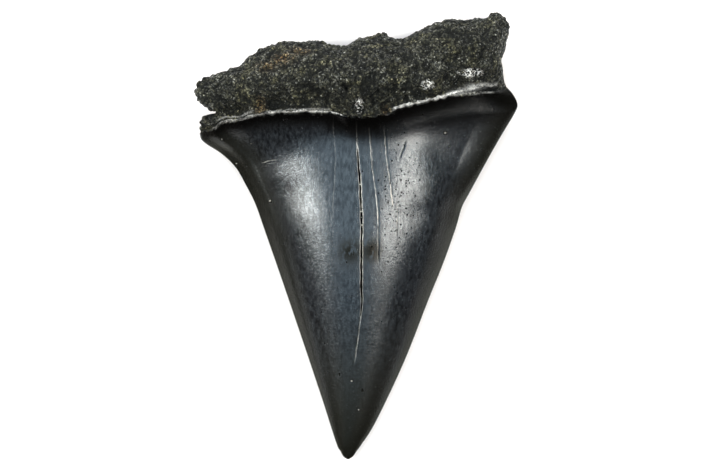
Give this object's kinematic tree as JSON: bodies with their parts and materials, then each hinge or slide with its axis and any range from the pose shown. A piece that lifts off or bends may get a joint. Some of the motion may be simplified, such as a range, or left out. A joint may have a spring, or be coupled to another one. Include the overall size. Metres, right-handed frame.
{
  "type": "fossil broad-toothed mako tooth",
  "caption": "Fossil shark tooth with a broad, smooth triangular crown, cracked down the middle, under a rough worn root; it lies flat for display or study.",
  "frame": {"origin": "on the ground under the middle of the tooth's bounding box", "axes": "+Z away from the labial face that the tooth lies on, +Y from the tip towards the root, +X across the tooth, to the right when the root is at the top"},
  "size_m": [0.0372, 0.0516, 0.0102],
  "materials": {
    "fossil_tooth": "glossy slate-black enamel on the crown, dull granular olive-black bone on the root"
  },
  "bodies": {
    "root": {"tooth": "fossil_tooth"}
  },
  "joints": []
}
